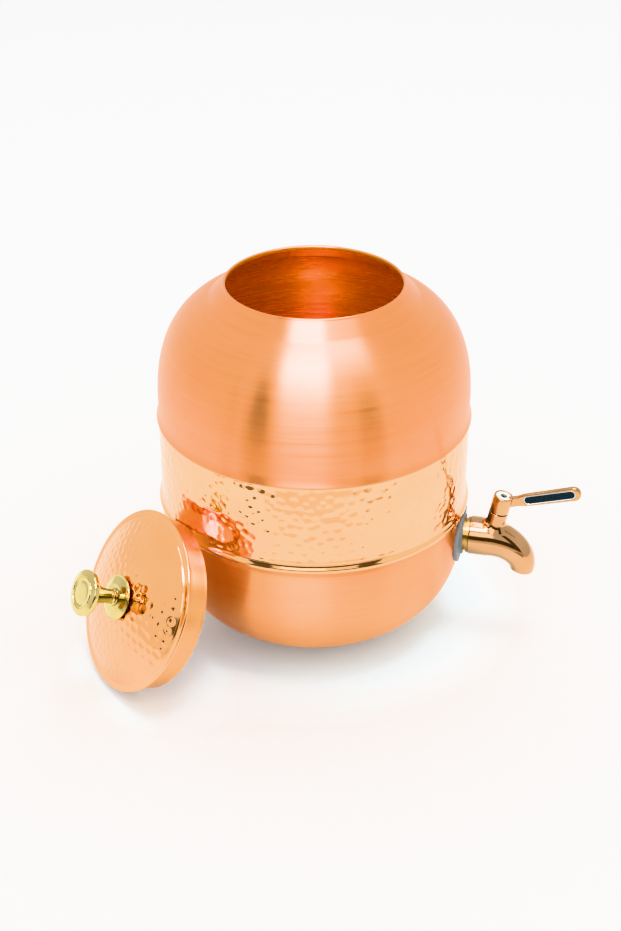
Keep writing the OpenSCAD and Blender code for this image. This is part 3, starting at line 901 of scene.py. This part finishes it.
def knob_flange():
    """Round plate under the knob, with a bead at its edge and a step up to its middle."""
    bore, edge_r, step_r, middle_r = SCREW_R + 0.1, 0.6, KNOB_R - 2.2, 8.0
    step_z, top = FLANGE_Z + 1.95, FLANGE_Z + 3.1
    outline = [(bore, FLANGE_Z), (KNOB_R - 2, FLANGE_Z), (KNOB_R - 0.4, FLANGE_Z + 0.25)]
    outline += arc((KNOB_R - edge_r, FLANGE_Z + 1.0), edge_r, -50, 90, 10)
    outline += [(KNOB_R - 1.4, FLANGE_Z + 1.5), (KNOB_R - 1.7, FLANGE_Z + 1.75), (step_r, step_z)]
    outline += [(step_r - (step_r - middle_r) * t, step_z + (top - step_z) * math.sin(t * math.pi / 2))
                for t in np.linspace(0.15, 1, 10)]
    outline += [(7, top), (bore, top)]
    return turned("knob_flange", in_metres(outline), KNOB_AROUND)


def knob():
    """Mushroom knob: a small foot, a waist that flares out, and a head with turned ring lines."""
    foot = FLANGE_Z + KNOB_FOOT
    head = KNOB_TOP - 6.2
    waist = foot + 3.5
    flare_top = head + 0.4
    bore_r, bore_top = SCREW_R + 0.02, foot + 10
    outline = [(0, bore_top), (bore_r, bore_top), (bore_r, foot), (5.7, foot), (5.9, foot + 0.2)]
    outline += [(5.75, foot + 0.8), (KNOB_NECK_R + 0.25, foot + 1.2), (KNOB_NECK_R + 0.05, foot + 1.7)]
    outline += [(KNOB_NECK_R + KNOB_FLARE * t ** 1.8, waist + (flare_top - waist) * t)
                for t in np.linspace(0, 1, 28)]
    neck_r = KNOB_NECK_R + KNOB_FLARE
    outline += [(neck_r + (KNOB_R - 1.2 - neck_r) * t, flare_top + 1.1 * t ** 1.3)
                for t in np.linspace(0.2, 1, 6)]
    outline += arc((KNOB_R - 0.9, head + 2.7), 0.9, -60, 0, 6)
    outline += [(KNOB_R, head + 4.2)] + arc((KNOB_R - 1.3, head + 4.4), 1.3, 5, 62, 7)
    brim = [(12.4, 0.35), (11.6, 0.12)]
    outer_line = [(10.66, 0), (10.5, 0.12), (10.36, 0.4), (9.95, 0.4), (9.77, 0.12), (9.6, 0)]
    inner_line = [(8.0, 0.05), (7.6, 0.22), (7.2, 0.1)]
    middle = [(5, 0.06), (2.5, 0.05), (0, 0.05)]
    outline += [(r, KNOB_TOP - depth) for r, depth in brim + outer_line + inner_line + middle]
    return turned("knob", in_metres(outline), KNOB_AROUND, closed=False)


finished("lid_cover_hammered", placed(lid_cover(), lid_frame), ["lid"], "lid",
         "lid_cover", sharp=50)
finished("lid_collar_spun", placed(lid_collar(), lid_frame), ["collar"], "lid",
         "lid_collar")
finished("lid_knob_flange", placed(knob_flange(), lid_frame), ["brass"], "lid",
         "knob_flange")
finished("lid_knob", placed(knob(), lid_frame), ["brass"], "lid", "knob")


# ---- CAD nodes kept as they are, with new materials ----

kept_nodes = {
    "outer_gasket": "grey_rubber",
    "inner_gasket": "grey_rubber",
    "backing_ring": "raw_brass",
    "tap_shank": "raw_brass",
    "lock_nut": "raw_brass",
    "shank_washer": "steel",
    "ball_seats": "white_plastic",
    "gland_bush": "raw_brass",
    "valve_ball": "steel",
    "valve_stem": "raw_brass",
    "stem_o_rings": "black_rubber",
    "index_disc": "disc",
    "handle_screw": "dark_steel",
    "knob_washer": "steel",
    "knob_screw": "steel",
}
for node_name, look_name in kept_nodes.items():
    for material_slot in nodes[node_name].material_slots:
        material_slot.material = looks[look_name]


# ---- Studio, in metres ----

AIM_Z = 0.12
CURTAIN_Z = 0.475
FLAG_Z = 1.06
SIDE_CARD_Z = 0.44
SHEET_LIFT = 0.002
WEDGE_LIFT = 0.003


def white_floor():
    """White table with a faint glow. Close to the pot and the lid it is painted cooler and glows
    bluish: painted light that works against the copper's own glow in the shadows and lifts them.
    """
    g = Graph("floor", roughness=0.9)

    def nearness(x, y, full, gone):
        """1 within the radius full of a spot, and 0 beyond the radius gone."""
        distance = g.length(g.vector("SUBTRACT", g.coordinates(), (x, y, 0)))
        return g.spread(distance, 1.0, 0.0, (full, gone))

    below_pot = nearness(0.0, 0.0, 0.09, 0.145)
    below_lid = nearness(-0.07, -0.095, 0.03, 0.075)
    painted_tint_mask = g.math("MAXIMUM", below_pot, below_lid)
    # Painted light: a cooler colour and a bluish glow near the pot and the lid cancel the copper's pink
    # light in the shadows.
    g.connect(g.blend(painted_tint_mask, (0.95, 0.95, 0.95), (0.70, 0.88, 0.955)), "Base Color")
    g.connect(g.blend(painted_tint_mask, (0.5, 0.5, 0.5), (0.6, 0.85, 1.05)), "Emission Color")
    g.shader.inputs["Emission Strength"].default_value = 0.1
    return g.material


def card(name, colour, glow=0.0):
    """Dull card, which gives off white light where it has a glow."""
    g = Graph(name, roughness=0.9)
    tint = g.noise(g.coordinates(), 3.0)
    g.connect(g.blend(tint, colour, tuple(c * 1.1 for c in colour)), "Base Color")
    if glow:
        g.shader.inputs["Emission Color"].default_value = (1, 1, 1, 1)
        g.shader.inputs["Emission Strength"].default_value = glow
    return g.material


def stage_sheet(name, corners, place, material, seen):
    """Floor or card of the studio. One that isn't seen shows in reflections only."""
    mesh = mesh_of(name, corners, [[0, 1, 2, 3]])
    mesh.materials.append(material)
    item = linked(name, mesh)
    item.matrix_world = place
    item.visible_camera = seen
    item.visible_shadow = seen
    item.visible_diffuse = seen


def stage_plane(name, size, place, material, seen=False):
    """Rectangle of this size, centred on its place."""
    x, y = size[0] / 2, size[1] / 2
    corners = [(-x, -y, 0), (x, -y, 0), (x, y, 0), (-x, y, 0)]
    stage_sheet(name, corners, place, material, seen)


def soft_box(name, place, size, power):
    """Rectangular lamp, aimed at the pot."""
    data = bpy.data.lights.new(name, "AREA")
    data.shape = "RECTANGLE"
    data.size, data.size_y = size
    data.energy = power
    item = linked(name, data)
    item.location = place
    item.rotation_euler = (Vector((0, 0, AIM_Z)) - place).to_track_quat("-Z", "Y").to_euler()


def studio_point(across, toward, up):
    """Point given from the camera's side: to the right, toward the camera, and up."""
    right = Vector((math.cos(VIEW_TURN), math.sin(VIEW_TURN), 0))
    front = Vector((math.sin(VIEW_TURN), -math.cos(VIEW_TURN), 0))
    return across * right + toward * front + Vector((0, 0, up))


def facing(point, aim_z=AIM_Z):
    """Placement of a plane that stands at point and faces the pot's axis at this height."""
    turn = (Vector((0, 0, aim_z)) - point).to_track_quat("Z", "Y").to_matrix().to_4x4()
    return Matrix.Translation(point) @ turn


def floor_wedge(name, bearing, half_angle, material):
    """Wedge on the floor that widens away from the pot. bearing is counted from the camera's side,
    in degrees, and is positive to the right."""
    near, far = 0.37, 1.7
    corners = []
    for distance, side in ((near, -1), (near, 1), (far, 1), (far, -1)):
        a = math.radians(bearing + side * half_angle)
        corners.append(studio_point(distance * math.sin(a), distance * math.cos(a), WEDGE_LIFT))
    stage_sheet(name, corners, Matrix.Identity(4), material, seen=False)


def studio():
    """White room with one bright window and a lamp above. The dark cards on the camera's side give
    the copper its streaks."""
    world = bpy.data.worlds.new("studio")
    world.use_nodes = True
    background = world.node_tree.nodes["Background"]
    background.inputs["Color"].default_value = (1, 1, 1, 1)
    background.inputs["Strength"].default_value = 0.95
    bpy.context.scene.world = world
    bpy.context.scene.view_settings.view_transform = "Khronos PBR Neutral"
    bpy.context.scene.view_settings.exposure = 0.45

    stage_plane("floor", (14, 14), Matrix.Identity(4), white_floor(), seen=True)
    soft_box("overhead", studio_point(0.16, -0.10, 1.70), (0.8, 0.8), 27)
    window = facing(studio_point(-0.12, 0.61, 1.43))
    fill = facing(studio_point(-0.17, 1.2, 1.0))
    stage_plane("window", (0.60, 0.38), window, card("window", (0.8, 0.8, 0.8), 58))
    stage_plane("fill", (0.72, 0.50), fill, card("fill", (0.8, 0.8, 0.8), 2.4))

    black = card("black_card", (0.05, 0.045, 0.04))
    brown = card("brown_card", (0.30, 0.24, 0.20))
    curtain = facing(studio_point(0, 1.75, CURTAIN_Z), CURTAIN_Z)
    flag_left = facing(studio_point(-1.02, 1.36, FLAG_Z), FLAG_Z)
    flag_right = facing(studio_point(1.06, 1.33, FLAG_Z), FLAG_Z)
    side_card = facing(studio_point(-1.36, 0.85, SIDE_CARD_Z), SIDE_CARD_Z)
    stage_plane("curtain", (3.38, 0.71), curtain, black)
    stage_plane("flag_left", (0.45, 1.9), flag_left, black)
    stage_plane("flag_right", (0.46, 1.9), flag_right, black)
    stage_plane("side_card", (0.20, 0.28), side_card, black)
    floor_wedge("wedge_left", -38, 10, black)
    floor_wedge("wedge_right", 38.5, 9, brown)
    apron = Matrix.Translation(studio_point(0, 1.45, SHEET_LIFT)) @ Matrix.Rotation(VIEW_TURN, 4, "Z")
    stage_plane("apron", (3.38, 2.3), apron, card("apron", (0.66, 0.58, 0.50)))


studio()


bpy.context.view_layer.update()
